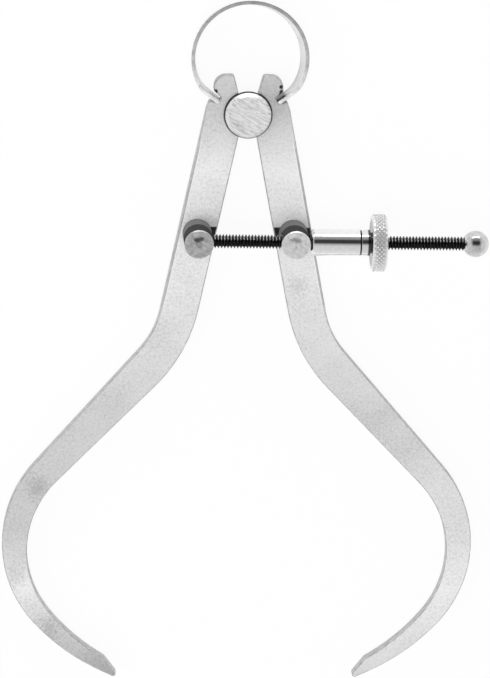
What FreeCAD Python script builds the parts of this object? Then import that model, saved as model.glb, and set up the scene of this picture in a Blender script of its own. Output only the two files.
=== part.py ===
"""Outside spring caliper: two bowed legs, a bow spring, a fulcrum spool and a screw with a nut.

Millimetres. The caliper lies on its back: +Z is up out of the front faces, +Y runs from the
fulcrum towards the bow spring and +X is the side that the nut sits on. The origin is on the
fulcrum axis, in the plane of the rear face of the fulcrum spool.
"""
import FreeCAD, Part
import math
import os

Vector = FreeCAD.Vector
ALONG_SCREW = Vector(1, 0, 0)

# Fulcrum spool
FRONT_HEAD_DIAMETER = 11.7
REAR_HEAD_DIAMETER = 8.8
SPOOL_NECK_DIAMETER = 6.0
REAR_HEAD_HEIGHT = 1.6
FRONT_HEAD_HEIGHT = 1.9
FRONT_FLAT_DIAMETER = 9.6
FRONT_BEVEL_HEIGHT = 1.2
REAR_BEVEL = 0.35

# Legs: thickness, running clearances and the edge break on every outline
LEG_THICKNESS = 3.0
SIDE_CLEARANCE = 0.05
SEAT_CLEARANCE = 0.04
LEG_EDGE_BREAK = 0.25

# Outer edge of a leg, followed from the shoulder down to the tip in tangent lines and arcs.
# The lean is measured from the centre line of the tool.
UPPER_LEAN_ANGLE = 11.45
UPPER_WIDTH = 9.34
OUTER_START_Y = 1.2
UPPER_LENGTH = 52.6
BEND_RADIUS = 22.3
BEND_ANGLE = 29.45
LOWER_LENGTH = 39.8
BELLY_RADIUS = 31.9
BELLY_ANGLE = 82.0
TOE_RADIUS = 54.0
TOE_ANGLE = 23.0
TOE_LENGTH = 6.6
TIP_RADIUS = 0.7

# Inner edge of a leg: where it starts, and by how much its steps differ from the outer ones
INNER_START_X = 2.19
INNER_START_Y = -5.5
INNER_UPPER_SHORTER = 7.25
INNER_BEND_WIDER = 17.6
TAPER_ANGLE = 3.15
INNER_LOWER_SHORTER = 4.9
BELLY_WIDTH = 5.4
INNER_TOE_TIGHTER = 2.0
TIP_TAPER_ANGLE = 4.0
INNER_TOE_LENGTH = 2.0

# Head of a leg: the horn above the fulcrum, the spring's notch and the shoulder below it.
# The notch is measured along the spring's end and across it.
SEAT_VERTEX_X = 1.05
HORN_TOP_X = 3.62
HORN_TOP_Y = 9.75
HORN_TOP_RADIUS = 0.8
HORN_BACK_X = 8.42
HORN_BACK_Y = 9.62
HORN_BACK_RADIUS = 2.95
NOTCH_DEPTH = 2.53
NOTCH_MOUTH_RISE = 1.4
NOTCH_MOUTH_RADIUS = 0.45
NOTCH_LIP_LENGTH = 1.87
NOTCH_LIP_DROP = 0.64
NOTCH_CLEARANCE = 0.06
NOTCH_RELIEF = 0.6
SHOULDER_RADIUS = 0.6

# Bow spring, whose back edge lies in the plane of the spool's rear face. From back to front its
# ring grows by the flare and its centre moves by the lean. A gentler bend joins it to each end.
SPRING_RADIUS = 13.7
SPRING_FLARE = 0.62
SPRING_LEAN_X = 0.32
SPRING_LEAN_Y = 0.58
SPRING_THICKNESS = 0.95
SPRING_WIDTH = 6.3
SPRING_END_X = 7.4
SPRING_END_Y = 3.25
SPRING_END_ANGLE = 37.5
SPRING_BEND_START_ANGLE = 64.0
SPRING_BEND_RADIUS = 6.5

# Swivel posts and the screw
POST_DISTANCE = 32.3
POST_DIAMETER = 7.2
SCREW_HEIGHT_ABOVE_LEG = 8.4
POST_ABOVE_SCREW = 3.8
POST_EDGE_BREAK = 0.25
POST_SHANK_DIAMETER = 4.0
POST_SHANK_CLEARANCE = 0.04
CENTRE_MARK_DIAMETER = 1.5
CENTRE_MARK_DEPTH = 0.45
WASHER_DIAMETER = 6.6
WASHER_THICKNESS = 0.6
TAIL_DIAMETER = 5.2

SCREW_DIAMETER = 3.5
SCREW_FREE_CLEARANCE = 0.08
SCREW_SEAT_DEPTH = 2.3
SCREW_SEAT_CLEARANCE = 0.02
LOCK_PIN_DIAMETER = 1.2
LOCK_PIN_REACH = 0.5

SLEEVE_DIAMETER = 6.6
SLEEVE_LENGTH = 12.45
SLEEVE_NOSE_RADIUS = 1.1
SLEEVE_RIM_BREAK = 0.2
SLEEVE_GAP = 0.05
NUT_HUB_DIAMETER = 6.5
NUT_HUB_LENGTH = 2.2
NUT_GROOVE_DIAMETER = 5.2
NUT_GROOVE_WIDTH = 0.35
NUT_HEAD_DIAMETER = 14.2
NUT_HEAD_WIDTH = 3.65
NUT_HEAD_BEVEL = 0.7
NUT_HUB_BREAK = 0.25

BALL_DIAMETER = 6.6
BALL_CENTRE_FROM_ANCHOR = 68.4
BALL_TENON_DIAMETER = 2.4
BALL_TENON_CLEARANCE = 0.02
BALL_TENON_PAST_CENTRE = 0.6

# Places worked out from the sizes above
LEG_BACK = REAR_HEAD_HEIGHT + SIDE_CLEARANCE
LEG_FRONT = LEG_BACK + LEG_THICKNESS
HEAD_GAP_TOP = LEG_FRONT + SIDE_CLEARANCE
SCREW_Z = LEG_FRONT + SCREW_HEIGHT_ABOVE_LEG
POST_TOP = SCREW_Z + POST_ABOVE_SCREW
POST_RADIUS = POST_DIAMETER / 2
SCREW_RADIUS = SCREW_DIAMETER / 2

# The upper leg's straight edges: the inner one's place at the height of the fulcrum, and from
# it the start of the outer edge and the middle line's distance from the fulcrum axis
LEAN = math.radians(UPPER_LEAN_ANGLE)
INNER_X_AT_FULCRUM = INNER_START_X + INNER_START_Y * math.tan(LEAN)
OUTER_START_X = INNER_X_AT_FULCRUM - OUTER_START_Y * math.tan(LEAN) + UPPER_WIDTH / math.cos(LEAN)
MIDDLE_OFFSET = INNER_X_AT_FULCRUM * math.cos(LEAN) + UPPER_WIDTH / 2

# Right post's axis, on the leg's middle line at POST_DISTANCE from the fulcrum axis
POST_ALONG = math.sqrt(POST_DISTANCE ** 2 - MIDDLE_OFFSET ** 2)
POST_X = MIDDLE_OFFSET * math.cos(LEAN) + POST_ALONG * math.sin(LEAN)
POST_Y = MIDDLE_OFFSET * math.sin(LEAN) - POST_ALONG * math.cos(LEAN)

# The spring's right end: its directions outwards along the strip and across it. Ring, bend and
# straight end give how far the ring's centre lies from the fulcrum axis, at half the width.
SPRING_END_SLOPE = math.radians(SPRING_END_ANGLE)
SPRING_END_ALONG = Vector(math.cos(SPRING_END_SLOPE), math.sin(SPRING_END_SLOPE), 0)
SPRING_END_ACROSS = Vector(-math.sin(SPRING_END_SLOPE), math.cos(SPRING_END_SLOPE), 0)
BEND_START_SLOPE = math.radians(SPRING_BEND_START_ANGLE)
SPRING_BEND_X = (SPRING_RADIUS - SPRING_BEND_RADIUS) * math.sin(BEND_START_SLOPE)
SPRING_STRAIGHT = ((SPRING_BEND_X - SPRING_END_X - SPRING_END_ACROSS.x * SPRING_BEND_RADIUS)
                   / SPRING_END_ALONG.x)
SPRING_CENTRE_Y = (SPRING_END_Y + SPRING_STRAIGHT * SPRING_END_ALONG.y
                   + SPRING_BEND_RADIUS * SPRING_END_ACROSS.y
                   + (SPRING_RADIUS - SPRING_BEND_RADIUS) * math.cos(BEND_START_SLOPE))

# Along the screw
LOCK_PIN_BOTTOM = SCREW_Z - SCREW_RADIUS - LOCK_PIN_REACH
SCREW_START = -POST_X - SCREW_SEAT_DEPTH
BALL_X = BALL_CENTRE_FROM_ANCHOR - POST_X
BALL_SHOULDER = BALL_X - math.sqrt((BALL_DIAMETER / 2) ** 2 - SCREW_RADIUS ** 2)
SLEEVE_START = POST_X + POST_RADIUS + SLEEVE_GAP
NUT_START = SLEEVE_START + SLEEVE_LENGTH + SLEEVE_GAP


def flat(x, y):
    return Vector(x, y, 0)


def walk(start, steps):
    """Edges of a path of tangent lines and arcs, the point where it ends and its lean there.

    The path heads downwards, leaning towards +X as the upper leg does. A step is
    ("line", length) or ("arc", radius, turn), where a positive turn leans the path further out.
    """
    x, y = start
    heading = LEAN
    edges = []
    for step in steps:
        if step[0] == "line":
            end_x = x + math.sin(heading) * step[1]
            end_y = y - math.cos(heading) * step[1]
            edges.append(Part.LineSegment(flat(x, y), flat(end_x, end_y)).toShape())
        else:
            radius = step[1]
            turn = math.radians(step[2])
            side = math.copysign(1.0, turn)
            centre_x = x + side * radius * math.cos(heading)
            centre_y = y + side * radius * math.sin(heading)

            def on_arc(share):
                angle = heading + turn * share
                return (centre_x - side * radius * math.cos(angle),
                        centre_y - side * radius * math.sin(angle))

            middle = on_arc(0.5)
            end_x, end_y = on_arc(1.0)
            edges.append(Part.Arc(flat(x, y), flat(*middle), flat(end_x, end_y)).toShape())
            heading += turn
        x, y = end_x, end_y
    return edges, (x, y), heading


def rounded_line(corners):
    """Edges of an open line through corners given as (x, y, radius), with its corners rounded."""
    edges = []
    previous = flat(corners[0][0], corners[0][1])
    for index in range(1, len(corners) - 1):
        x, y, radius = corners[index]
        corner = flat(x, y)
        before = (flat(*corners[index - 1][:2]) - corner).normalize()
        after = (flat(*corners[index + 1][:2]) - corner).normalize()
        if radius == 0:
            edges.append(Part.LineSegment(previous, corner).toShape())
            previous = corner
            continue
        half = before.getAngle(after) / 2
        reach = radius / math.tan(half)
        centre = corner + (before + after).normalize() * (radius / math.sin(half))
        arc_start = corner + before * reach
        arc_end = corner + after * reach
        arc_middle = centre + (corner - centre).normalize() * radius
        edges.append(Part.LineSegment(previous, arc_start).toShape())
        edges.append(Part.Arc(arc_start, arc_middle, arc_end).toShape())
        previous = arc_end
    edges.append(Part.LineSegment(previous, flat(*corners[-1][:2])).toShape())
    return edges


def notch_point(along, across):
    """A point measured from the spring's end: outwards along it, and across it from its middle."""
    point = SPRING_END_ALONG * along + SPRING_END_ACROSS * across
    return SPRING_END_X + point.x, SPRING_END_Y + point.y


def leg_outline():
    """Closed outline of the right leg, before the fulcrum seat is cut."""
    outer_steps = [
        ("line", UPPER_LENGTH),
        ("arc", BEND_RADIUS, BEND_ANGLE),
        ("line", LOWER_LENGTH),
        ("arc", BELLY_RADIUS, -BELLY_ANGLE),
        ("arc", TOE_RADIUS, -TOE_ANGLE),
    ]
    inner_steps = [
        ("line", UPPER_LENGTH - INNER_UPPER_SHORTER),
        ("arc", BEND_RADIUS + INNER_BEND_WIDER, BEND_ANGLE + TAPER_ANGLE),
        ("line", LOWER_LENGTH - INNER_LOWER_SHORTER),
        ("arc", BELLY_RADIUS - BELLY_WIDTH, -BELLY_ANGLE),
        ("arc", TOE_RADIUS - INNER_TOE_TIGHTER, -(TOE_ANGLE - TIP_TAPER_ANGLE)),
        ("line", INNER_TOE_LENGTH),
    ]
    outer, outer_end, outer_heading = walk((OUTER_START_X, OUTER_START_Y), outer_steps)
    inner, inner_end, _ = walk((INNER_START_X, INNER_START_Y), inner_steps)
    toe_corner = (outer_end[0] + math.sin(outer_heading) * TOE_LENGTH,
                  outer_end[1] - math.cos(outer_heading) * TOE_LENGTH)
    tip = rounded_line([
        (outer_end[0], outer_end[1], 0),
        (toe_corner[0], toe_corner[1], TIP_RADIUS),
        (inner_end[0], inner_end[1], 0),
    ])
    half = SPRING_THICKNESS / 2 + NOTCH_CLEARANCE
    notch_floor_top = notch_point(-NOTCH_CLEARANCE, half + NOTCH_RELIEF)
    notch_floor_bottom = notch_point(-NOTCH_CLEARANCE, -half)
    mouth = notch_point(NOTCH_DEPTH, NOTCH_MOUTH_RISE)
    lip = notch_point(NOTCH_LIP_LENGTH, -half - NOTCH_LIP_DROP)
    head = rounded_line([
        (INNER_START_X, INNER_START_Y, 0),
        (SEAT_VERTEX_X, 0, 0),
        (HORN_TOP_X, HORN_TOP_Y, HORN_TOP_RADIUS),
        (HORN_BACK_X, HORN_BACK_Y, HORN_BACK_RADIUS),
        (mouth[0], mouth[1], NOTCH_MOUTH_RADIUS),
        (notch_floor_top[0], notch_floor_top[1], NOTCH_MOUTH_RADIUS),
        (notch_floor_bottom[0], notch_floor_bottom[1], 0),
        (lip[0], lip[1], SHOULDER_RADIUS),
        (OUTER_START_X, OUTER_START_Y, 0),
    ])
    edges = outer + tip + inner + head
    return Part.Wire(Part.__sortEdges__(edges))


def cylinder(radius, height, place, direction=Vector(0, 0, 1)):
    return Part.makeCylinder(radius, height, place, direction)


def turned(profile, along_x=False):
    """Solid of revolution from (radius, height) points, about Z or about X."""
    points = [Vector(radius, 0, height) for radius, height in profile]
    face = Part.Face(Part.makePolygon(points + points[:1]))
    solid = face.revolve(Vector(0, 0, 0), Vector(0, 0, 1), 360)
    if along_x:
        solid.rotate(Vector(0, 0, 0), Vector(0, 1, 0), 90)
    return solid


def right_leg():
    face = Part.Face(leg_outline())
    blank = face.extrude(Vector(0, 0, LEG_THICKNESS))
    rims = [edge for edge in blank.Edges if abs(edge.tangentAt(edge.FirstParameter).z) < 0.5]
    blank = blank.makeChamfer(LEG_EDGE_BREAK, rims)
    blank.translate(Vector(0, 0, LEG_BACK))
    seat = cylinder(SPOOL_NECK_DIAMETER / 2 + SEAT_CLEARANCE, LEG_THICKNESS, Vector(0, 0, LEG_BACK))
    hole = cylinder(POST_SHANK_DIAMETER / 2 + POST_SHANK_CLEARANCE, LEG_THICKNESS,
                    Vector(POST_X, POST_Y, LEG_BACK))
    return blank.cut(seat).cut(hole)


def mirrored(solid):
    return solid.mirror(Vector(0, 0, 0), Vector(1, 0, 0))


def spring_wall(height, offset):
    """The strip's middle line at a height, moved outwards by offset: its edges and both ends."""
    share = height / SPRING_WIDTH - 0.5
    radius = SPRING_RADIUS + SPRING_FLARE * share
    ring_x = SPRING_LEAN_X * share
    ring_y = SPRING_CENTRE_Y + SPRING_LEAN_Y * share

    def stops(side):
        """Ring's end, the bend's middle, its end and the strip's end, right (1) or left (-1)."""
        centre = Vector(side * ring_x, ring_y, 0)
        end = Vector(SPRING_END_X, SPRING_END_Y, 0)
        reach = end + SPRING_END_ACROSS * SPRING_BEND_RADIUS - centre
        along = reach.dot(SPRING_END_ALONG)
        gap = radius - SPRING_BEND_RADIUS
        straight = math.sqrt(along ** 2 - reach.dot(reach) + gap ** 2) - along
        bend_centre = centre + reach + SPRING_END_ALONG * straight
        leave = (bend_centre - centre).normalize()
        arrive = SPRING_END_ACROSS * -1
        between = (leave + arrive).normalize()
        distance = SPRING_BEND_RADIUS + offset
        points = [
            centre + leave * (radius + offset),
            bend_centre + between * distance,
            bend_centre + arrive * distance,
            end + arrive * offset,
        ]
        return [Vector(side * point.x, point.y, height) for point in points]

    right = stops(1)
    left = stops(-1)
    top = Vector(ring_x, ring_y + radius + offset, height)
    curves = [
        Part.LineSegment(left[3], left[2]),
        Part.Arc(left[2], left[1], left[0]),
        Part.Arc(left[0], top, right[0]),
        Part.Arc(right[0], right[1], right[2]),
        Part.LineSegment(right[2], right[3]),
    ]
    return [curve.toShape() for curve in curves], left[3], right[3]


def spring_section(height):
    """Closed outline of the strip at a height."""
    outer, outer_left, outer_right = spring_wall(height, SPRING_THICKNESS / 2)
    inner, inner_left, inner_right = spring_wall(height, -SPRING_THICKNESS / 2)
    right_end = Part.LineSegment(outer_right, inner_right).toShape()
    left_end = Part.LineSegment(inner_left, outer_left).toShape()
    return Part.Wire(outer + [right_end] + inner[::-1] + [left_end])


def bow_spring():
    return Part.makeLoft([spring_section(0), spring_section(SPRING_WIDTH)], True, True)


def fulcrum_spool():
    rear = REAR_HEAD_DIAMETER / 2
    head = FRONT_HEAD_DIAMETER / 2
    neck = SPOOL_NECK_DIAMETER / 2
    front = HEAD_GAP_TOP + FRONT_HEAD_HEIGHT
    return turned([
        (0, 0),
        (rear - REAR_BEVEL, 0),
        (rear, REAR_BEVEL),
        (rear, REAR_HEAD_HEIGHT),
        (neck, REAR_HEAD_HEIGHT),
        (neck, HEAD_GAP_TOP),
        (head, HEAD_GAP_TOP),
        (head, front - FRONT_BEVEL_HEIGHT),
        (FRONT_FLAT_DIAMETER / 2, front),
        (0, front),
    ])


def swivel_post():
    """Post on the fulcrum axis: body, shank through the leg, and the tail peened over a washer."""
    body = POST_RADIUS
    shank = POST_SHANK_DIAMETER / 2
    tail_top = LEG_BACK - SIDE_CLEARANCE - WASHER_THICKNESS
    base = LEG_FRONT + SIDE_CLEARANCE
    return turned([
        (0, 0),
        (TAIL_DIAMETER / 2 - REAR_BEVEL, 0),
        (TAIL_DIAMETER / 2, REAR_BEVEL),
        (TAIL_DIAMETER / 2, tail_top),
        (shank, tail_top),
        (shank, base),
        (body, base),
        (body, POST_TOP - POST_EDGE_BREAK),
        (body - POST_EDGE_BREAK, POST_TOP),
        (CENTRE_MARK_DIAMETER / 2, POST_TOP),
        (0, POST_TOP - CENTRE_MARK_DEPTH),
    ])


def guide_post():
    bore = cylinder(SCREW_RADIUS + SCREW_FREE_CLEARANCE, POST_DIAMETER,
                    Vector(-POST_RADIUS, 0, SCREW_Z), ALONG_SCREW)
    post = swivel_post().cut(bore)
    post.translate(Vector(POST_X, POST_Y, 0))
    return post


def lock_pin_shape(radius, bottom):
    return cylinder(radius, POST_TOP - bottom, Vector(-POST_X, POST_Y, bottom))


def anchor_post():
    socket = cylinder(SCREW_RADIUS + SCREW_SEAT_CLEARANCE, SCREW_SEAT_DEPTH + POST_DIAMETER,
                      Vector(-SCREW_SEAT_DEPTH - SCREW_SEAT_CLEARANCE, 0, SCREW_Z),
                      ALONG_SCREW)
    post = swivel_post().cut(socket)
    post.translate(Vector(-POST_X, POST_Y, 0))
    drilled = lock_pin_shape(LOCK_PIN_DIAMETER / 2 + SCREW_SEAT_CLEARANCE,
                             LOCK_PIN_BOTTOM - SCREW_SEAT_CLEARANCE)
    return post.cut(drilled)


def lock_pin():
    return lock_pin_shape(LOCK_PIN_DIAMETER / 2, LOCK_PIN_BOTTOM)


def adjusting_screw():
    """Rod at the thread's full diameter, from its seat in the anchor post into the ball."""
    start = Vector(SCREW_START, POST_Y, SCREW_Z)
    rod = cylinder(SCREW_RADIUS, BALL_SHOULDER - SCREW_START, start, ALONG_SCREW)
    tenon_end = BALL_X + BALL_TENON_PAST_CENTRE
    tenon = cylinder(BALL_TENON_DIAMETER / 2, tenon_end - SCREW_START, start, ALONG_SCREW)
    drilled = lock_pin_shape(LOCK_PIN_DIAMETER / 2 + SCREW_SEAT_CLEARANCE,
                             LOCK_PIN_BOTTOM - SCREW_SEAT_CLEARANCE)
    return rod.fuse(tenon).removeSplitter().cut(drilled)


def screw_ball():
    """Ball with a flat against the rod's shoulder and a blind hole for the rod's tenon."""
    ball = Part.makeSphere(BALL_DIAMETER / 2, Vector(BALL_X, POST_Y, SCREW_Z), ALONG_SCREW)
    flat_end = cylinder(BALL_DIAMETER, BALL_DIAMETER,
                        Vector(BALL_SHOULDER - BALL_DIAMETER, POST_Y, SCREW_Z), ALONG_SCREW)
    socket_end = BALL_X + BALL_TENON_PAST_CENTRE + BALL_TENON_CLEARANCE
    socket = cylinder(BALL_TENON_DIAMETER / 2 + BALL_TENON_CLEARANCE, socket_end - BALL_SHOULDER,
                      Vector(BALL_SHOULDER, POST_Y, SCREW_Z), ALONG_SCREW)
    return ball.cut(flat_end).cut(socket)


def thrust_sleeve():
    """Plain sleeve between the guide post and the nut, with a rounded nose."""
    start = Vector(SLEEVE_START, POST_Y, SCREW_Z)
    middle = SLEEVE_START + SLEEVE_LENGTH / 2
    body = cylinder(SLEEVE_DIAMETER / 2, SLEEVE_LENGTH, start, ALONG_SCREW)
    rim = [edge for edge in body.Edges if edge.Closed and edge.CenterOfMass.x > middle]
    body = body.makeChamfer(SLEEVE_RIM_BREAK, rim)
    nose = [edge for edge in body.Edges if edge.Closed and edge.CenterOfMass.x < middle]
    body = body.makeFillet(SLEEVE_NOSE_RADIUS, nose)
    bore = cylinder(SCREW_RADIUS + SCREW_FREE_CLEARANCE, SLEEVE_LENGTH, start, ALONG_SCREW)
    return body.cut(bore)


def adjusting_nut():
    """Hub, groove and round head, turned in one piece and bored for the screw."""
    bore = SCREW_RADIUS + SCREW_FREE_CLEARANCE
    hub = NUT_HUB_DIAMETER / 2
    groove = NUT_GROOVE_DIAMETER / 2
    head = NUT_HEAD_DIAMETER / 2
    head_start = NUT_HUB_LENGTH + NUT_GROOVE_WIDTH
    head_end = head_start + NUT_HEAD_WIDTH
    nut = turned([
        (bore, 0),
        (hub - NUT_HUB_BREAK, 0),
        (hub, NUT_HUB_BREAK),
        (hub, NUT_HUB_LENGTH),
        (groove, NUT_HUB_LENGTH),
        (groove, head_start),
        (head - NUT_HEAD_BEVEL, head_start),
        (head, head_start + NUT_HEAD_BEVEL),
        (head, head_end - NUT_HEAD_BEVEL),
        (head - NUT_HEAD_BEVEL, head_end),
        (bore, head_end),
    ], along_x=True)
    nut.translate(Vector(NUT_START, POST_Y, SCREW_Z))
    return nut


def post_washer(x):
    top = LEG_BACK - SIDE_CLEARANCE / 2
    bottom = top - WASHER_THICKNESS
    ring = cylinder(WASHER_DIAMETER / 2, top - bottom, Vector(x, POST_Y, bottom))
    hole = cylinder(POST_SHANK_DIAMETER / 2 + POST_SHANK_CLEARANCE, top - bottom,
                    Vector(x, POST_Y, bottom))
    return ring.cut(hole)


def main():
    leg = right_leg()
    nodes = {
        "fulcrum_spool": fulcrum_spool(),
        "bow_spring": bow_spring(),
        "right_leg": leg,
        "left_leg": mirrored(leg),
        "anchor_post": anchor_post(),
        "guide_post": guide_post(),
        "anchor_post_washer": post_washer(-POST_X),
        "guide_post_washer": post_washer(POST_X),
        "screw_lock_pin": lock_pin(),
        "adjusting_screw": adjusting_screw(),
        "screw_ball": screw_ball(),
        "thrust_sleeve": thrust_sleeve(),
        "adjusting_nut": adjusting_nut(),
    }
    os.makedirs("parts", exist_ok=True)
    for name, shape in nodes.items():
        shape.exportStep(os.path.join("parts", name + ".step"))
        box = shape.BoundBox
        print(name, shape.isValid(), len(shape.Solids), round(shape.Volume, 1),
              [round(value, 2) for value in (box.XMin, box.XMax, box.YMin, box.YMax, box.ZMin, box.ZMax)])
    print("post", round(POST_X, 3), round(POST_Y, 3), "screw z", round(SCREW_Z, 3))


main()
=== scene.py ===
import bpy
import math
from mathutils import Matrix, Vector


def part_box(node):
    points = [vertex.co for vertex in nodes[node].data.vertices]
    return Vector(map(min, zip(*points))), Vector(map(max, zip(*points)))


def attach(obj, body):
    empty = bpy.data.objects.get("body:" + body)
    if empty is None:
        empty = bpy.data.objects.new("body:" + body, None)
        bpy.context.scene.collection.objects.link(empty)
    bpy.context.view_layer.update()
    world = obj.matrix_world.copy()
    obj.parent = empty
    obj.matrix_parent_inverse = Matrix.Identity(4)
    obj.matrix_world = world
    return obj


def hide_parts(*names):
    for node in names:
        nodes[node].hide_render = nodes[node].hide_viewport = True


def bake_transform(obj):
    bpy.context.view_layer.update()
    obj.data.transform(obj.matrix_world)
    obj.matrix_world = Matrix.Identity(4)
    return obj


MM = 0.001
FULL_TURN = math.tau

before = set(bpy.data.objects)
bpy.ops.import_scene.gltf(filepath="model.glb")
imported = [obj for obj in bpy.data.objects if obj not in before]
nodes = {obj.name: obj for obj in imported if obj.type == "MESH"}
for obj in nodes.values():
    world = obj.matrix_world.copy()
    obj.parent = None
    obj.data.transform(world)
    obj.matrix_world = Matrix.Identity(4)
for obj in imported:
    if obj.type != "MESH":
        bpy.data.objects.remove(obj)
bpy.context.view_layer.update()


# Places read from the frame, in millimetres
def box_mm(node):
    low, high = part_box(node)
    return Vector(low) / MM, Vector(high) / MM


def middle(node):
    low, high = box_mm(node)
    return (low + high) / 2


nut_low, nut_high = box_mm("adjusting_nut")
screw_low, screw_high = box_mm("adjusting_screw")
ball_low, ball_high = box_mm("screw_ball")
spring_low, spring_high = box_mm("bow_spring")
leg_high = box_mm("right_leg")[1]
SCREW_Y = (nut_low.y + nut_high.y) / 2
SCREW_Z = (nut_low.z + nut_high.z) / 2
SCREW_RADIUS = (screw_high.y - screw_low.y) / 2
ANCHOR = middle("anchor_post")
GUIDE = middle("guide_post")


# Mesh helpers
def add_mesh(name, points, faces, sharp_degrees=32.0):
    """A piece from points in millimetres, in the row frame, smooth except at its sharp edges."""
    mesh = bpy.data.meshes.new(name)
    mesh.from_pydata([Vector(point) * MM for point in points], [], faces)
    mesh.validate()
    mesh.update()
    mesh.polygons.foreach_set("use_smooth", [True] * len(mesh.polygons))
    mesh.set_sharp_from_angle(angle=math.radians(sharp_degrees))
    piece = bpy.data.objects.new(name, mesh)
    bpy.context.scene.collection.objects.link(piece)
    return piece


def around_screw(share, radius, x):
    """Point at a share of a turn about the screw's axis, right-handed about +X."""
    angle = FULL_TURN * share
    return (x, SCREW_Y + radius * math.cos(angle), SCREW_Z + radius * math.sin(angle))


# Screw: a 60 degree thread wound along the rod, from its seat in the anchor post to the ball
PITCH = 0.794
THREAD_CREST = 0.10
THREAD_ROOT = 0.17
THREAD_DEPTH = 0.50
THREAD_STEPS = 28
THREAD_SHARP_DEGREES = 20.0


def screw_thread():
    root = SCREW_RADIUS - THREAD_DEPTH
    flank = (PITCH - THREAD_CREST - THREAD_ROOT) / 2
    profile = [(0.0, root), (THREAD_ROOT, root), (THREAD_ROOT + flank, SCREW_RADIUS),
               (THREAD_ROOT + flank + THREAD_CREST, SCREW_RADIUS)]
    width = len(profile)
    ball_middle = ball_high.x - (ball_high.y - ball_low.y) / 2
    turns = math.floor((ball_middle - screw_low.x) / PITCH) - 1
    last = turns * THREAD_STEPS
    points = []
    for step in range(last + 1):
        turn = step / THREAD_STEPS
        for along, r in profile:
            points.append(around_screw(turn, r, screw_low.x + turn * PITCH + along))

    def at(step, place):
        return step * width + place

    faces = []
    for step in range(last):
        for place in range(width - 1):
            faces.append((at(step, place), at(step, place + 1),
                          at(step + 1, place + 1), at(step + 1, place)))
        if step + THREAD_STEPS < last:
            faces.append((at(step, width - 1), at(step + THREAD_STEPS, 0),
                          at(step + THREAD_STEPS + 1, 0), at(step + 1, width - 1)))
    first_rim = [at(step, 0) for step in range(THREAD_STEPS + 1)]
    first_rim += [at(0, place) for place in range(width - 1, 0, -1)]
    last_rim = [at(step, width - 1) for step in range(last - THREAD_STEPS, last + 1)]
    last_rim += [at(last, place) for place in range(width - 2, -1, -1)]
    for rim, x, outwards in ((first_rim, screw_low.x, True),
                             (last_rim, screw_low.x + turns * PITCH + PITCH, False)):
        centre = len(points)
        points.append((x, SCREW_Y, SCREW_Z))
        for i, number in enumerate(rim):
            following = rim[(i + 1) % len(rim)]
            faces.append((number, following, centre) if outwards else (following, number, centre))
    return add_mesh("screw_thread", points, faces, THREAD_SHARP_DEGREES)


# Share of an edge's width at which its rounding passes through a middle point
ROUNDING = 0.3

# Nut: hub, groove and head turned about the screw, with a diamond knurl round the head
NUT_BORE_RADIUS = 1.83
HUB_RADIUS = 3.25
HUB_LENGTH = 2.2
HUB_EDGE = 0.25
GROOVE_RADIUS = 2.6
GROOVE_WIDTH = 0.35
HEAD_EDGE = 0.62
FACE_RECESS = 0.12
BORE_LIP = 0.5
BORE_CHAMFER = 0.4
# How far the head's rings lie inside its rim, as shares of the head's edge
RECESS_INSET = 2.4
FACE_INSET = 2.1
SHOULDER_INSET = 1.1
BEVEL_INSET = 0.4
BEVEL_HEIGHT = 0.38
KNURL_DIAMONDS = 38
KNURL_ROWS = 5
KNURL_DEPTH = 0.3
KNURL_FLAT = 0.35
NUT_SHARP_DEGREES = 28.0


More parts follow.
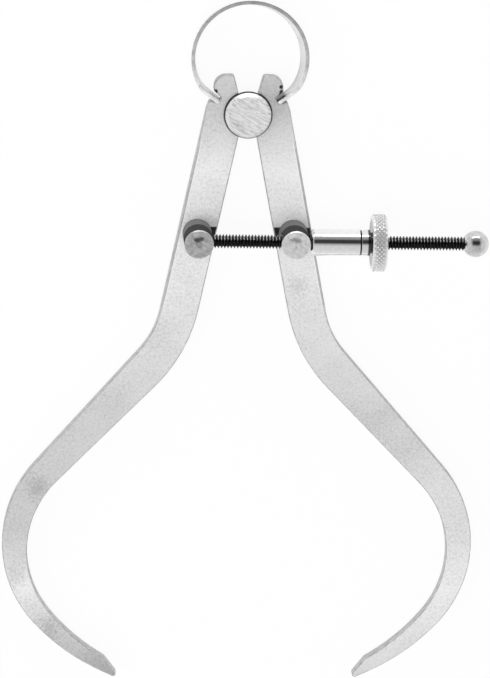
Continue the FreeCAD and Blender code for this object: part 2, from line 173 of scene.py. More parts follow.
def knurled_nut():
    head = (nut_high.y - nut_low.y) / 2
    columns = 2 * KNURL_DIAMONDS
    hub_end = nut_low.x + HUB_LENGTH
    head_start = hub_end + GROOVE_WIDTH
    head_end = nut_high.x
    knurl_start = head_start + HEAD_EDGE
    knurl_end = head_end - HEAD_EDGE
    recess, face, shoulder, bevel = (head - inset * HEAD_EDGE for inset in (
        RECESS_INSET, FACE_INSET, SHOULDER_INSET, BEVEL_INSET))
    points = []
    faces = []

    def ring(radius, x):
        start = len(points)
        points.extend(around_screw(i / columns, radius, x) for i in range(columns))
        return list(range(start, start + columns))

    def join(first, second):
        for i in range(columns):
            k = (i + 1) % columns
            faces.append((first[i], first[k], second[k], second[i]))

    front = [
        ring(NUT_BORE_RADIUS, nut_low.x),
        ring(HUB_RADIUS - HUB_EDGE, nut_low.x),
        ring(HUB_RADIUS - HUB_EDGE * ROUNDING, nut_low.x + HUB_EDGE * ROUNDING),
        ring(HUB_RADIUS, nut_low.x + HUB_EDGE),
        ring(HUB_RADIUS, hub_end),
        ring(GROOVE_RADIUS, hub_end),
        ring(GROOVE_RADIUS, head_start + FACE_RECESS),
        ring(recess, head_start + FACE_RECESS),
        ring(face, head_start),
        ring(shoulder, head_start),
        ring(bevel, head_start + HEAD_EDGE * BEVEL_HEIGHT),
    ]
    for first, second in zip(front, front[1:]):
        join(first, second)
    lattice = []
    for row in range(KNURL_ROWS + 1):
        x = knurl_start + (knurl_end - knurl_start) * row / KNURL_ROWS
        start = len(points)
        for i in range(columns):
            valley = (i + row) % 2 == 0
            points.append(around_screw(i / columns, head - KNURL_DEPTH if valley else head, x))
        lattice.append(list(range(start, start + columns)))
    join(front[-1], lattice[0])

    def part_way(corner, peak, radius):
        low, high = Vector(points[corner]), Vector(points[peak])
        place = low.lerp(high, 1 - KNURL_FLAT)
        outwards = Vector((0, place.y - SCREW_Y, place.z - SCREW_Z)).normalized() * radius
        points.append((place.x, SCREW_Y + outwards.y, SCREW_Z + outwards.z))
        return len(points) - 1

    for row in range(KNURL_ROWS + 1):
        for i in range(columns):
            if (i + row) % 2 == 0:
                continue
            peak = lattice[row][i]
            before = lattice[row][i - 1]
            after = lattice[row][(i + 1) % columns]
            if row == 0:
                ahead = lattice[1][i]
                faces.append((before, peak, ahead))
                faces.append((peak, after, ahead))
            elif row == KNURL_ROWS:
                behind = lattice[row - 1][i]
                faces.append((before, behind, peak))
                faces.append((peak, behind, after))
            else:
                corners = [before, lattice[row - 1][i], after, lattice[row + 1][i]]
                flats = [part_way(corner, peak, head) for corner in corners]
                for k in range(4):
                    n = (k + 1) % 4
                    faces.append((corners[k], corners[n], flats[n], flats[k]))
                faces.append(tuple(flats))
    back = [
        lattice[-1],
        ring(bevel, head_end - HEAD_EDGE * BEVEL_HEIGHT),
        ring(shoulder, head_end),
        ring(face, head_end),
        ring(recess, head_end - FACE_RECESS),
        ring(NUT_BORE_RADIUS + BORE_LIP, head_end - FACE_RECESS),
        ring(NUT_BORE_RADIUS, head_end - FACE_RECESS - BORE_CHAMFER),
        front[0],
    ]
    for first, second in zip(back, back[1:]):
        join(first, second)
    used = sorted({number for corners in faces for number in corners})
    places = {number: i for i, number in enumerate(used)}
    kept = [points[number] for number in used]
    renumbered = [tuple(places[number] for number in corners) for corners in faces]
    return add_mesh("knurled_nut", kept, renumbered, NUT_SHARP_DEGREES)


# Bow spring: each half is the strip's section swept along the ring, a bend and a straight end.
# From the back edge to the front one the ring grows by the flare and its centre moves by the lean.
SPRING_RADIUS = 13.7
SPRING_FLARE = 0.62
SPRING_LEAN_X = 0.32
SPRING_LEAN_Y = 0.58
SPRING_THICKNESS = 0.95
SPRING_END = Vector((7.4, 3.25))
SPRING_END_ANGLE = 37.5
SPRING_BEND_RADIUS = 6.5
SPRING_EDGE = 0.16
RING_STEPS = 90
BEND_STEPS = 16
END_STEPS = 8

SPRING_RING_Y = (spring_high.y - SPRING_THICKNESS / 2 - SPRING_RADIUS
                 - (SPRING_FLARE + SPRING_LEAN_Y) / 2)
SPRING_END_SLOPE = math.radians(SPRING_END_ANGLE)
SPRING_END_ALONG = Vector((math.cos(SPRING_END_SLOPE), math.sin(SPRING_END_SLOPE)))
SPRING_END_ACROSS = Vector((-math.sin(SPRING_END_SLOPE), math.cos(SPRING_END_SLOPE)))


def spring_line(side, z, offset):
    """Points of the strip's middle line at height z, moved outwards, from the top to one end."""
    share = (z - spring_low.z) / (spring_high.z - spring_low.z) - 0.5
    radius = SPRING_RADIUS + SPRING_FLARE * share
    centre = Vector((side * SPRING_LEAN_X * share, SPRING_RING_Y + SPRING_LEAN_Y * share))
    reach = SPRING_END + SPRING_END_ACROSS * SPRING_BEND_RADIUS - centre
    along = reach.dot(SPRING_END_ALONG)
    gap = radius - SPRING_BEND_RADIUS
    straight = math.sqrt(along ** 2 - reach.dot(reach) + gap ** 2) - along
    bend_centre = centre + reach + SPRING_END_ALONG * straight
    leave = math.atan2(bend_centre.y - centre.y, bend_centre.x - centre.x)
    arrive = SPRING_END_SLOPE - math.pi / 2
    points = []
    for middle_point, arc, start, end, steps in (
            (centre, radius, math.pi / 2, leave, RING_STEPS),
            (bend_centre, SPRING_BEND_RADIUS, leave, arrive, BEND_STEPS)):
        for i in range(steps):
            angle = start + (end - start) * i / steps
            out = Vector((math.cos(angle), math.sin(angle)))
            points.append(middle_point + out * (arc + offset))
    for i in range(END_STEPS + 1):
        left_over = straight * (1 - i / END_STEPS)
        points.append(SPRING_END + SPRING_END_ALONG * left_over - SPRING_END_ACROSS * offset)
    return [(side * point.x, point.y, z) for point in points]


def spring_half(name, side):
    half = SPRING_THICKNESS / 2
    low, high = spring_low.z, spring_high.z
    edge = SPRING_EDGE
    soft = edge * ROUNDING
    section = [(half, low + edge), (half, high - edge), (half - soft, high - soft),
               (half - edge, high), (edge - half, high), (soft - half, high - soft),
               (-half, high - edge), (-half, low + edge), (soft - half, low + soft),
               (edge - half, low), (half - edge, low), (half - soft, low + soft)]
    count = len(section)
    lines = [spring_line(side, z, offset) for offset, z in section]
    length = len(lines[0])
    points = [line[i] for i in range(length) for line in lines]
    faces = []
    for i in range(length - 1):
        for k in range(count):
            n = (k + 1) % count
            face = (i * count + k, i * count + n, (i + 1) * count + n, (i + 1) * count + k)
            faces.append(face if side < 0 else face[::-1])
    first = tuple(range(count))
    last = tuple(range((length - 1) * count, length * count))
    faces.append(first[::-1] if side < 0 else first)
    faces.append(last if side < 0 else last[::-1])
    return add_mesh(name, points, faces)


# Node helpers
class Tree:
    """Adds nodes to a tree; a socket given as a value is linked, anything else is set."""

    def __init__(self, tree):
        self.tree = tree
        tree.nodes.clear()

    def add(self, kind, sockets=None, **settings):
        node = self.tree.nodes.new(kind)
        for key, value in settings.items():
            setattr(node, key, value)
        for key, value in (sockets or {}).items():
            if isinstance(value, bpy.types.NodeSocket):
                self.tree.links.new(value, node.inputs[key])
            else:
                node.inputs[key].default_value = value
        return node

    def math(self, operation, first, second=0.0, clamp=False):
        return self.add("ShaderNodeMath", {0: first, 1: second}, operation=operation,
                        use_clamp=clamp).outputs[0]

    def weighted(self, *terms):
        """Sum of the terms' values, each times its weight."""
        total, *others = [self.math("MULTIPLY", value, weight) for value, weight in terms]
        for term in others:
            total = self.math("ADD", total, term)
        return total

    def ragged(self, value, noise, amount):
        """The value with a noise added that is centred on nought, so that its edges waver."""
        centred = self.math("SUBTRACT", noise, 0.5)
        return self.math("ADD", value, self.math("MULTIPLY", centred, amount))

    def axes(self, vector):
        return self.add("ShaderNodeSeparateXYZ", {0: vector}).outputs

    def geometry(self, output):
        return self.add("ShaderNodeNewGeometry").outputs[output]

    def noise(self, vector, scale, detail=3.0, roughness=0.55, distortion=0.0):
        return self.add("ShaderNodeTexNoise", {
            "Vector": vector, "Scale": scale, "Detail": detail, "Roughness": roughness,
            "Distortion": distortion}).outputs[0]

    def span(self, value, low, high, new_low, new_high):
        return self.add("ShaderNodeMapRange", {
            "Value": value, "From Min": low, "From Max": high, "To Min": new_low,
            "To Max": new_high}).outputs[0]

    def rise(self, value, start, width):
        """0 up to the start and 1 from its width further on."""
        return self.span(value, start, start + width, 0.0, 1.0)

    def fall(self, value, start, width):
        """1 up to the start and 0 from its width further on."""
        return self.span(value, start, start + width, 1.0, 0.0)

    def ramp(self, value, stops):
        """Grey tones between stops given as (place, tone)."""
        node = self.add("ShaderNodeValToRGB", {0: value})
        elements = node.color_ramp.elements
        while len(elements) < len(stops):
            elements.new(0.5)
        for element, (place, tone) in zip(elements, stops):
            element.position = place
            element.color = grey(tone)
        return node.outputs[0]

    def mix(self, share, first, second, blend="MIX"):
        return self.add("ShaderNodeMix", {0: share, 6: first, 7: second}, data_type="RGBA",
                        blend_type=blend).outputs[2]


def grey(tone):
    return (tone, tone, tone, 1)


def millimetres(tree):
    """The piece's own rest coordinates, in millimetres."""
    coordinates = tree.add("ShaderNodeTexCoord").outputs["Object"]
    return stretched(tree, coordinates, (1 / MM,) * 3)


def stretched(tree, vector, scale, turn=(0, 0, 0), shift=(0, 0, 0)):
    return tree.add("ShaderNodeMapping", {"Vector": vector, "Scale": scale, "Rotation": turn,
                                          "Location": shift}).outputs[0]


def metal(tree, colour, roughness, bump_height, bump_mm, bump_strength, metallic=1.0, gloss=0.5):
    bump = tree.add("ShaderNodeBump", {"Height": bump_height, "Distance": bump_mm * MM,
                                       "Strength": bump_strength})
    shader = tree.add("ShaderNodeBsdfPrincipled", {
        "Base Color": colour, "Metallic": metallic, "Roughness": roughness,
        "Specular IOR Level": gloss, "Normal": bump.outputs[0]})
    tree.add("ShaderNodeOutputMaterial", {"Surface": shader.outputs[0]})


def new_material(name):
    material = bpy.data.materials.new(name)
    material.use_nodes = True
    return material, Tree(material.node_tree)


def side_share(tree, low, high):
    """0 on faces that lie flat and 1 on upright ones, with the turn between the given values."""
    upward = tree.math("ABSOLUTE", tree.axes(tree.geometry("Normal"))[2])
    return tree.span(upward, low, high, 1.0, 0.0)


def distance_from(tree, place, x, y):
    """Distance in the row frame's plane from the point x, y."""
    moved = tree.add("ShaderNodeVectorMath", {0: place, 1: (-x, -y, 0)}, operation="ADD")
    level = tree.add("ShaderNodeVectorMath", {0: moved.outputs[0], 1: (1, 1, 0)},
                     operation="MULTIPLY")
    length = tree.add("ShaderNodeVectorMath", {0: level.outputs[0]}, operation="LENGTH")
    return length.outputs["Value"]


def from_screw(tree, place):
    """How far above the screw's axis, and how far from it, the shaded point lies."""
    _, y, z = tree.axes(place)
    above = tree.math("SUBTRACT", y, SCREW_Y)
    before = tree.math("SUBTRACT", z, SCREW_Z)
    squares = tree.math("ADD", tree.math("MULTIPLY", above, above),
                        tree.math("MULTIPLY", before, before))
    return above, tree.math("SQRT", squares)


def near(tree, distance, radius, softness):
    """1 within the radius and 0 beyond it, with a soft edge."""
    return tree.fall(distance, radius - softness, 2 * softness)


def tones_along(tree, height, rows, column=1):
    """Grey at a height, from rows that begin with a height in millimetres."""
    first, last = rows[0][0], rows[-1][0]
    share = tree.rise(height, first, last - first)
    return tree.ramp(share, [((row[0] - first) / (last - first), row[column]) for row in rows])


# Leg finish, in millimetres: how bright a face is, as (height, left leg, right leg)
LEG_TONES = [(-147, 0.48, 0.80), (-131, 0.82, 0.95), (-123, 1.0, 1.0), (-117, 0.80, 0.97),
             (-107, 0.70, 0.90), (-92, 0.71, 0.84), (-76, 0.74, 0.77), (-40, 1.0, 0.97),
             (-14, 1.0, 0.98), (-8, 0.88, 0.84), (4, 0.72, 0.62)]
LEG_MOTTLE = [(0.38, 0.68), (0.46, 0.84), (0.54, 0.95), (0.62, 1.0)]
# Tones of the cut sides, darker than the faces: partly the cut steel, partly painted shade
LEG_CUT_TONES = [(0.35, 0.34), (0.65, 0.60)]
LEG_BREAK = (0.85, 0.97)
LEG_METALLIC = 0.25
FINE_EDGE = 0.06
# Painted shade on the legs: a dark line round the spool's head, and the screw's shadow behind it
HEAD_RIM_RADIUS = 5.93
HEAD_RIM_HALF = 0.1
SCREW_SHADE_HALF = 1.6
SCREW_SHADE_SOFT = 0.15
SCREW_SHADE_START = -10.6
SCREW_SHADE_FADE = 0.4
SHADE_TONE = 0.02
# Soft stains, as (x, y, radius, strength)
SMUDGES = [(13.4, -43.2, 2.0, 0.18), (-50.6, -96.5, 2.6, 0.30), (-56.0, -120.5, 2.4, 0.18),
           (-47.5, -134.0, 2.6, 0.24)]
SMUDGE_WAVER = 9.0
SMUDGE_CORE = 0.2
SMUDGE_REACH = 1.6
SMUDGE_TONE = 0.12
# Painted shade in the mouths of the notches and a painted dark spot on the right horn, as (x, y,
# radius)
NOTCH_SHADE_SPOTS = [(8.2, 5.6, 0.65), (-8.2, 5.6, 0.65), (7.9, 6.95, 0.5)]
NOTCH_SHADE_WAVER = 1.2
NOTCH_SHADE_SOFT = 0.15
NOTCH_SHADE_TONE = 0.015
# Upper part of the outer edge: a band of painted shade with a painted highlight line inside it, for
# a rounded edge
OUTER_EDGE_X = 10.6
OUTER_EDGE_SLOPE = 0.203
OUTER_BAND = 0.6
OUTER_GLINT = 0.22
OUTER_TONES = [(0.35, 0.40), (0.65, 0.58)]
OUTER_LOW = -54.0
OUTER_LOW_FADE = 8.0
OUTER_TOP = -9.0
OUTER_TOP_FADE = 4.0


def leg_steel():
    """Ground sheet steel with a clouded plated film; the cut sides and broken edges are darker,
    partly as cut steel and partly as painted shade.
    """
    material, tree = new_material("satin_leg_steel")
    place = millimetres(tree)
    across, height, _ = tree.axes(place)
    clouds = tree.noise(place, 0.09, 3.0, 0.5, 0.3)
    mottle = tree.noise(place, 1.3, 4.0, 0.6)
    grain = tree.noise(place, 3.0, 2.0, 0.5)
    face = tree.ramp(tree.weighted((clouds, 0.22), (mottle, 0.38), (grain, 0.40)), LEG_MOTTLE)
    left = tones_along(tree, height, LEG_TONES)
    right = tones_along(tree, height, LEG_TONES, 2)
    zone = tree.mix(tree.span(across, -1.0, 1.0, 0.0, 1.0), left, right)
    face = tree.mix(1.0, face, zone, "MULTIPLY")
    for x, y, radius, strength in SMUDGES:
        spread = tree.ragged(distance_from(tree, place, x, y), mottle, SMUDGE_WAVER)
        dark_patch = tree.span(spread, SMUDGE_CORE * radius, SMUDGE_REACH * radius, strength, 0.0)
        face = tree.mix(dark_patch, face, grey(SMUDGE_TONE))
    edge_x = tree.math("SUBTRACT", OUTER_EDGE_X, tree.math("MULTIPLY", height, OUTER_EDGE_SLOPE))
    inward = tree.math("SUBTRACT", edge_x, tree.math("ABSOLUTE", across))
    straight = tree.math("MULTIPLY", tree.rise(height, OUTER_LOW, OUTER_LOW_FADE),
                         tree.fall(height, OUTER_TOP, OUTER_TOP_FADE))
    # Painted shade and a painted highlight along the upper outer edge
    for width, finish in ((OUTER_BAND + OUTER_GLINT, grey(1.0)),
                          (OUTER_BAND, tree.ramp(mottle, OUTER_TONES))):
        strip = tree.math("MULTIPLY", near(tree, inward, width, FINE_EDGE), straight)
        face = tree.mix(strip, face, finish)
    # Painted shade: a dark line round the spool's head and the screw's shadow on the legs
    rim = tree.math("SUBTRACT", distance_from(tree, place, 0, 0), HEAD_RIM_RADIUS)
    head_shade_line = near(tree, tree.math("ABSOLUTE", rim), HEAD_RIM_HALF, FINE_EDGE)
    level = tree.math("ABSOLUTE", tree.math("SUBTRACT", height, SCREW_Y))
    screw_shadow = tree.math("MULTIPLY", near(tree, level, SCREW_SHADE_HALF, SCREW_SHADE_SOFT),
                             tree.rise(across, SCREW_SHADE_START, SCREW_SHADE_FADE))
    face = tree.mix(tree.math("MAXIMUM", head_shade_line, screw_shadow), face, grey(SHADE_TONE))
    # Darker cut sides and broken edges: partly the cut steel, partly painted shade
    cut = tree.ramp(tree.noise(stretched(tree, place, (0.6, 0.6, 6.0)), 1.0, 3.0), LEG_CUT_TONES)
    colour = tree.mix(side_share(tree, *LEG_BREAK), face, cut)
    # Painted shade in the notches' mouths and on the right horn
    for x, y, radius in NOTCH_SHADE_SPOTS:
        reach = tree.ragged(distance_from(tree, place, x, y), mottle, NOTCH_SHADE_WAVER)
        colour = tree.mix(near(tree, reach, radius, NOTCH_SHADE_SOFT), colour, grey(NOTCH_SHADE_TONE))
    metal(tree, colour, tree.span(mottle, 0.35, 0.65, 0.34, 0.50),
          tree.math("ADD", mottle, grain), 0.014, 0.4, LEG_METALLIC)
    return material


# Spring finish, in millimetres: tone of the strip's front edge, as (height, tone)
EDGE_TONES = [(3.0, 0.95), (8.0, 0.88), (12.0, 0.62), (20.0, 0.50), (28.0, 0.40)]
SCUFF_TONES = [(0.35, 0.72), (0.6, 1.0)]
WALL_TONES = [(0.38, 0.70), (0.62, 0.88)]
STRIP_BREAK = (0.3, 0.9)
STRIP_METALLIC = 0.4
# Painted shade on the strip where its ends lie in the notches
NOTCH_DARK_LENGTH = 2.4
NOTCH_DARK_SOFT = 0.35
NOTCH_DARK_TONE = 0.06


def spring_steel():
    """Rolled strip, scuffed along its edges, with painted shade where its ends lie in the notches.
    """
    material, tree = new_material("spring_strip_steel")
    place = millimetres(tree)
    height = tree.axes(place)[1]
    clouds = tree.noise(place, 0.22, 3.0, 0.6)
    rolled = tree.noise(stretched(tree, place, (0.5, 0.5, 9.0)), 1.0, 3.0)
    wall = tree.ramp(tree.weighted((clouds, 0.6), (rolled, 0.4)), WALL_TONES)
    # Painted shade on the strip's wall near its ends, inside the notches
    from_end = distance_from(tree, place, SPRING_END.x, SPRING_END.y)
    strip_notch_shade = near(tree, from_end, NOTCH_DARK_LENGTH, NOTCH_DARK_SOFT)
    wall = tree.mix(strip_notch_shade, wall, grey(NOTCH_DARK_TONE))
    scuffs = tree.ramp(tree.noise(place, 0.5, 4.0, 0.7), SCUFF_TONES)
    edge = tree.mix(1.0, tones_along(tree, height, EDGE_TONES), scuffs, "MULTIPLY")
    colour = tree.mix(side_share(tree, *STRIP_BREAK), edge, wall)
    metal(tree, colour, tree.span(clouds, 0.3, 0.7, 0.28, 0.42), rolled, 0.006, 0.4,
          STRIP_METALLIC)
    return material


# Turned finish of the spool, the posts and the pin, in millimetres
FACE_STOPS = (0.38, 0.5, 0.62)
SIDE_STOPS = (0.35, 0.65)
SIDE_BREAK = (0.2, 0.5)
# Painted dark reflection on the upper part of the sides
DARK_SIDE_WAVER = 0.8
DARK_SIDE_FADE = 0.4
DARK_SIDE_TONE = 0.07
SCRATCH_ANGLE = math.radians(28)
RING_WEIGHT = 0.1
# A dark patch above the middle of a turned face
PATCH_RISE = 1.25
PATCH_STRETCH = (0.7, 1.25, 0)
PATCH_RADIUS = 0.8
PATCH_SOFT = 0.35
PATCH_WAVER = 1.8
PATCH_TONE = 0.06
# Painted shade at the rim of the spool's face, and a painted highlight crescent inside it along the
# top
RIM_WAVER = 0.15
RIM_FADE = 0.14
RIM_TONE = 0.03
CRESCENT_START = 4.0
CRESCENT_START_FADE = 0.7
CRESCENT_WIDTH = 0.75
CRESCENT_FADE = 0.12


def turned_steel(name, centre, side_tones, face_tones, dark_patch=0.0, metallic=0.75,
                 dark_above=None, rim_radius=None, scratched=0.35):
    """Turned about Z at centre: scratched face with a dark patch above its middle, ringed sides
    painted dark and matte as shade.

    Above the height dark_above the sides are nearly black, a painted dark reflection. Beyond
    rim_radius the face is dark with painted shade, and inside that ring it has a painted highlight
    along the top.
    """
    material, tree = new_material(name)
    place = millimetres(tree)
    local = stretched(tree, place, (1, 1, 1), shift=(-centre.x, -centre.y, 0))
    _, above, height = tree.axes(local)
    reach = distance_from(tree, local, 0, 0)
    ring_place = tree.add("ShaderNodeCombineXYZ", {0: reach, 1: 0.0, 2: height}).outputs[0]
    rings = tree.noise(ring_place, 7.0, 2.0)
    turned = stretched(tree, local, (1, 1, 1), turn=(0, 0, SCRATCH_ANGLE))
    rubbed = tree.noise(stretched(tree, turned, (0.35, 3.2, 1.0)), 1.0, 3.0, 0.6)
    mottle = tree.noise(place, 0.9, 4.0, 0.6)
    mottled = 1 - RING_WEIGHT - scratched
    detail = tree.weighted((rubbed, scratched), (mottle, mottled), (rings, RING_WEIGHT))
    face = tree.ramp(detail, list(zip(FACE_STOPS, face_tones)))
    oval = stretched(tree, local, PATCH_STRETCH, shift=(0, -PATCH_RISE * PATCH_STRETCH[1], 0))
    blot = tree.ragged(distance_from(tree, oval, 0, 0), mottle, PATCH_WAVER)
    patched = tree.math("MULTIPLY", near(tree, blot, PATCH_RADIUS, PATCH_SOFT), dark_patch)
    face = tree.mix(patched, face, grey(PATCH_TONE))
    # Painted shade beyond the rim and a painted highlight along the top inside it
    if rim_radius is not None:
        outward = tree.math("ADD", reach, tree.math("MULTIPLY", mottle, RIM_WAVER))
        crescent = tree.math("MULTIPLY",
                             tree.rise(outward, rim_radius - CRESCENT_WIDTH, CRESCENT_FADE),
                             tree.rise(above, CRESCENT_START, CRESCENT_START_FADE))
        face = tree.mix(crescent, face, grey(1.0))
        face = tree.mix(tree.rise(outward, rim_radius, RIM_FADE), face, grey(RIM_TONE))
    # The sides are painted dark and matte, as shade; above dark_above they are nearly black, a
    # painted dark reflection
    side = tree.ramp(rings, list(zip(SIDE_STOPS, side_tones)))
    if dark_above is not None:
        wavering = tree.math("ADD", height, tree.math("MULTIPLY", mottle, DARK_SIDE_WAVER))
        side = tree.mix(tree.rise(wavering, dark_above, DARK_SIDE_FADE), side,
                        grey(DARK_SIDE_TONE))
    sides = side_share(tree, *SIDE_BREAK)
    metal(tree, tree.mix(sides, face, side), tree.span(mottle, 0.3, 0.7, 0.26, 0.42),
          detail, 0.008, 0.35, tree.span(sides, 0.0, 1.0, metallic, 0.0),
          tree.span(sides, 0.0, 1.0, 0.5, 0.0))
    return material


# Plated finish of the sleeve, the ball and the nut, in millimetres
NICKEL_STOPS = (0.36, 0.62)
JOINT_SOFT = 0.05
JOINT_TONE = 0.01
KNURL_CREST_TONES = [(0.43, 0.08), (0.49, 0.50), (0.55, 0.95)]
KNURL_HAZE = [(0.35, 0.6), (0.65, 0.88)]
KNURL_HAZE_SHARE = 0.35
KNURL_METALLIC = 0.65
HUB_BORDER = 0.1
HUB_FADE = 0.2
HUB_TONE = 0.82
HUB_POLISH = 0.35
# Painted shade on the hub next to the nut's head
HUB_SHADE_LENGTH = 0.7
HUB_SHADE_FADE = 0.25
HUB_SHADE_TONE = 0.08


def bright_nickel(name, tones, dark_beyond=None):
    """Polished plate over turned steel, with faint tool lines, and black past dark_beyond in X."""
    material, tree = new_material(name)
    place = millimetres(tree)
    lines = tree.noise(stretched(tree, place, (7.0, 0.15, 0.15)), 1.0, 3.0, 0.6)
    haze = tree.noise(place, 0.8, 4.0, 0.6)
    colour = tree.ramp(tree.weighted((haze, 0.7), (lines, 0.3)), list(zip(NICKEL_STOPS, tones)))
    if dark_beyond is not None:
        joint = tree.rise(tree.axes(place)[0], dark_beyond - JOINT_SOFT, 2 * JOINT_SOFT)
        colour = tree.mix(joint, colour, grey(JOINT_TONE))
    metal(tree, colour, tree.span(haze, 0.3, 0.7, 0.06, 0.12), lines, 0.004, 0.12)
    return material


def knurl_nickel():
    """Plated knurling, pale on its crests and dark in its valleys, with a polished hub that has
    painted shade at the head.
    """
    material, tree = new_material("knurled_nickel_plate")
    place = millimetres(tree)
    reach = from_screw(tree, place)[1]
    haze = tree.noise(place, 1.3, 4.0, 0.6)
    # Pale on the knurl's crests and dark in its valleys
    colour = tree.mix(KNURL_HAZE_SHARE, tree.ramp(tree.geometry("Pointiness"), KNURL_CREST_TONES),
                      tree.ramp(haze, KNURL_HAZE))
    hub = tree.fall(reach, HUB_RADIUS + HUB_BORDER, HUB_FADE)
    colour = tree.mix(hub, colour, grey(HUB_TONE))
    # Painted shade on the hub next to the head
    hub_end = nut_low.x + HUB_LENGTH
    hub_shade = tree.rise(tree.axes(place)[0], hub_end - HUB_SHADE_LENGTH, HUB_SHADE_FADE)
    colour = tree.mix(tree.math("MULTIPLY", hub, hub_shade), colour, grey(HUB_SHADE_TONE))
    roughness = tree.math("MULTIPLY", tree.span(haze, 0.3, 0.7, 0.2, 0.34),
                          tree.span(hub, 0.0, 1.0, 1.0, HUB_POLISH))
    metal(tree, colour, roughness, haze, 0.01, 0.3, tree.span(hub, 0.0, 1.0, KNURL_METALLIC, 1.0))
    return material


# Blackened finish of the thread, in millimetres; painted highlights lie above a height over the
# screw's axis
OXIDE_TONE = 0.004
CREST_TONE = 0.07
CREST_WEAR = 0.16
GLINT_HEIGHT = 1.1
GLINT_HEIGHT_FADE = 0.3
GLINT_TURN = 0.1
GLINT_TURN_FADE = 0.2
OXIDE_METALLIC = 0.6


def black_oxide():
    """Blackened thread: dull in the roots, grey along the crests, with painted highlights along the
    top.
    """
    material, tree = new_material("black_oxide_thread")
    place = millimetres(tree)
    above, reach = from_screw(tree, place)
    patches = tree.noise(place, 1.6, 4.0, 0.65)
    rubbed = tree.math("MULTIPLY", tree.rise(reach, SCREW_RADIUS - CREST_WEAR, CREST_WEAR),
                       tree.span(patches, 0.4, 0.6, 0.1, 1.0))
    colour = tree.mix(rubbed, grey(OXIDE_TONE), grey(CREST_TONE))
    # Painted highlights: white glints on the flanks along the top of the thread
    upper = tree.rise(tree.math("ADD", above, patches), GLINT_HEIGHT, GLINT_HEIGHT_FADE)
    turned = tree.rise(tree.axes(tree.geometry("Normal"))[0], GLINT_TURN, GLINT_TURN_FADE)
    glint = tree.math("MULTIPLY", upper, turned)
    colour = tree.mix(glint, colour, grey(1.0))
    metal(tree, colour, tree.span(patches, 0.3, 0.7, 0.2, 0.36), patches, 0.01, 0.3,
          tree.span(glint, 0.0, 1.0, OXIDE_METALLIC, 0.0))
    return material


# Put the pieces together
# The spool's face has painted shade beyond this radius
SPOOL_RIM = 5.64
# Above this height the posts' sides are nearly black: a painted dark reflection
POST_DARK_FROM = 10.4
SLEEVE_DARK_FROM = 27.75


def dress(node, material):
    piece = nodes[node]
    piece.data.materials.clear()
    piece.data.materials.append(material)


steel = leg_steel()
strip = spring_steel()

for leg in ("left_leg", "right_leg"):
    dress(leg, steel)
dress("fulcrum_spool", turned_steel("turned_spool", Vector((0, 0, 0)), (0.02, 0.06),
                                    (0.50, 0.74, 0.95), metallic=0.4, rim_radius=SPOOL_RIM,
                                    scratched=0.7))
for post, post_washer, centre, tones, dark_patch in (
        ("anchor_post", "anchor_post_washer", ANCHOR, (0.34, 0.50, 0.68), 0.9),
        ("guide_post", "guide_post_washer", GUIDE, (0.60, 0.78, 0.92), 0.55)):
    finish = turned_steel(post + "_finish", centre, (0.16, 0.26), tones, dark_patch,
                          dark_above=POST_DARK_FROM)
    dress(post, finish)
    dress(post_washer, finish)
dress("screw_lock_pin", turned_steel("pin_finish", ANCHOR, (0.2, 0.3), (0.30, 0.42, 0.55)))
dress("thrust_sleeve", bright_nickel("sleeve_nickel_plate", (0.82, 0.92), SLEEVE_DARK_FROM))
dress("screw_ball", bright_nickel("ball_nickel_plate", (0.52, 0.74)))

thread = screw_thread()
thread.data.materials.append(black_oxide())
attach(thread, "screw")
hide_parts("adjusting_screw")

nut = knurled_nut()
nut.data.materials.append(knurl_nickel())
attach(nut, "nut")
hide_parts("adjusting_nut")

# Each spring half bends from the upper side of its ring down to just above its seated end
for name, side, body in (("bow_spring_left", -1, "left_leg"), ("bow_spring_right", 1, "right_leg")):
    spring = spring_half(name, side)
    spring.data.materials.append(strip)
    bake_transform(spring)
    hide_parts("bow_spring")


# Floor, in metres
FLOOR_HALF = 3.0
FLOOR_DROP = 0.00005
FLOOR_TONE = 0.92
FLOOR_GLOW_SHARE = 0.92


def white_floor():
    mesh = bpy.data.meshes.new("floor")
    corners = [(-FLOOR_HALF, -FLOOR_HALF), (FLOOR_HALF, -FLOOR_HALF), (FLOOR_HALF, FLOOR_HALF),
               (-FLOOR_HALF, FLOOR_HALF)]
    mesh.from_pydata([(x, y, -FLOOR_DROP) for x, y in corners], [], [(0, 1, 2, 3)])
    floor = bpy.data.objects.new("floor", mesh)
    bpy.context.scene.collection.objects.link(floor)
    material, tree = new_material("white_floor")
    rays = tree.add("ShaderNodeLightPath").outputs
    seen = tree.math("ADD", tree.math("ADD", rays["Is Camera Ray"], rays["Is Glossy Ray"]),
                     rays["Is Transmission Ray"], True)
    paper = tree.add("ShaderNodeBsdfDiffuse", {"Color": grey(FLOOR_TONE)})
    glow = tree.add("ShaderNodeEmission", {"Color": grey(1.0), "Strength": 1.0})
    share = tree.math("MULTIPLY", seen, FLOOR_GLOW_SHARE)
    both = tree.add("ShaderNodeMixShader", {0: share, 1: paper.outputs[0], 2: glow.outputs[0]})
    tree.add("ShaderNodeOutputMaterial", {"Surface": both.outputs[0]})
    mesh.materials.append(material)


white_floor()


# Surroundings: a pale room whose ceiling is dark towards the camera, as polished parts show it.
# The rows are (degrees from straight up towards +Y, tone).
SKY = [(-90, 0.82), (-60, 0.74), (-20, 0.68), (-6, 0.55), (2, 0.28), (9, 0.05), (33, 0.04),
       (40, 0.22), (60, 0.42), (74, 0.85), (90, 1.0), (180, 1.0)]
SKY_SIDE = 0.82
SKY_SIDE_START = 0.45
SKY_SIDE_FADE = 0.35


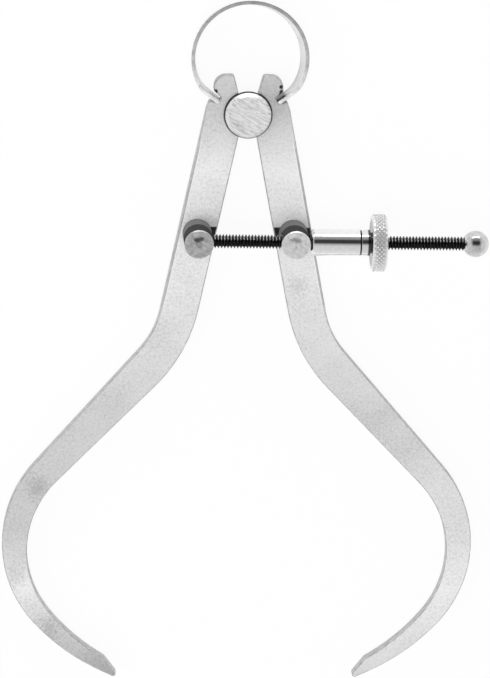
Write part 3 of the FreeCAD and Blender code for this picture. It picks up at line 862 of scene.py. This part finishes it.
def surroundings():
    world = bpy.data.worlds.new("studio")
    bpy.context.scene.world = world
    world.use_nodes = True
    tree = Tree(world.node_tree)
    x, y, z = tree.axes(tree.add("ShaderNodeTexCoord").outputs["Generated"])
    share = tree.span(tree.math("ARCTAN2", y, z), -math.pi, math.pi, 0.0, 1.0)
    overhead = tree.ramp(share, [((degrees + 180) / 360, tone) for degrees, tone in SKY])
    central = tree.fall(tree.math("ABSOLUTE", x), SKY_SIDE_START, SKY_SIDE_FADE)
    colour = tree.mix(central, grey(SKY_SIDE), overhead)
    background = tree.add("ShaderNodeBackground", {"Color": colour, "Strength": 1.0})
    tree.add("ShaderNodeOutputWorld", {"Surface": background.outputs[0]})


surroundings()


LAMP_AIM = Vector((0, -0.05, 0))


def soft_box(name, place, size, radiance, mirrored):
    """Rectangular lamp aimed at the caliper; size is (width, height) in metres."""
    light = bpy.data.lights.new(name, "AREA")
    light.shape = "RECTANGLE"
    light.size, light.size_y = size
    light.energy = radiance * math.pi * size[0] * size[1]
    lamp = bpy.data.objects.new(name, light)
    bpy.context.scene.collection.objects.link(lamp)
    lamp.location = place
    lamp.visible_glossy = mirrored
    aim = LAMP_AIM - lamp.location
    lamp.rotation_euler = aim.to_track_quat("-Z", "Y").to_euler()


soft_box("rear_soft_box", (0.0, 0.85, 0.22), (0.9, 0.2), 3.2, True)
soft_box("left_soft_box", (-0.75, -0.25, 0.65), (0.5, 0.5), 1.6, False)
soft_box("front_soft_box", (-0.1, 0.0, 1.0), (0.5, 0.5), 5.2, False)

# Camera at the photograph's place; angles in degrees, distances in millimetres, clips in metres
CAMERA_TARGET = Vector((0.634, -57.213, leg_high.z))
CAMERA_SIDE = -3.5
CAMERA_LEAN = 15.5
CAMERA_ROLL = 1.45
CAMERA_DISTANCE = 900.0
CAMERA_LENS = 191.15
SENSOR = 36.0
CLIP_NEAR = 0.05
CLIP_FAR = 20.0


def photo_camera():
    side, lean, roll = (math.radians(a) for a in (CAMERA_SIDE, CAMERA_LEAN, CAMERA_ROLL))
    back = Vector((math.sin(side) * math.cos(lean), math.sin(lean), math.cos(side) * math.cos(lean)))
    right = Vector((0, 1, 0)).cross(back).normalized()
    up = back.cross(right)
    rolled_right = right * math.cos(roll) + up * math.sin(roll)
    rolled_up = up * math.cos(roll) - right * math.sin(roll)
    data = bpy.data.cameras.new("photo_camera")
    data.lens = CAMERA_LENS
    data.sensor_width = SENSOR
    data.clip_start = CLIP_NEAR
    data.clip_end = CLIP_FAR
    camera = bpy.data.objects.new("photo_camera", data)
    bpy.context.scene.collection.objects.link(camera)
    turn = Matrix((rolled_right, rolled_up, back)).transposed().to_4x4()
    place = (CAMERA_TARGET + back * CAMERA_DISTANCE) * MM
    camera.matrix_world = Matrix.Translation(place) @ turn
    bpy.context.scene.camera = camera


photo_camera()
bpy.context.scene.view_settings.view_transform = "Standard"
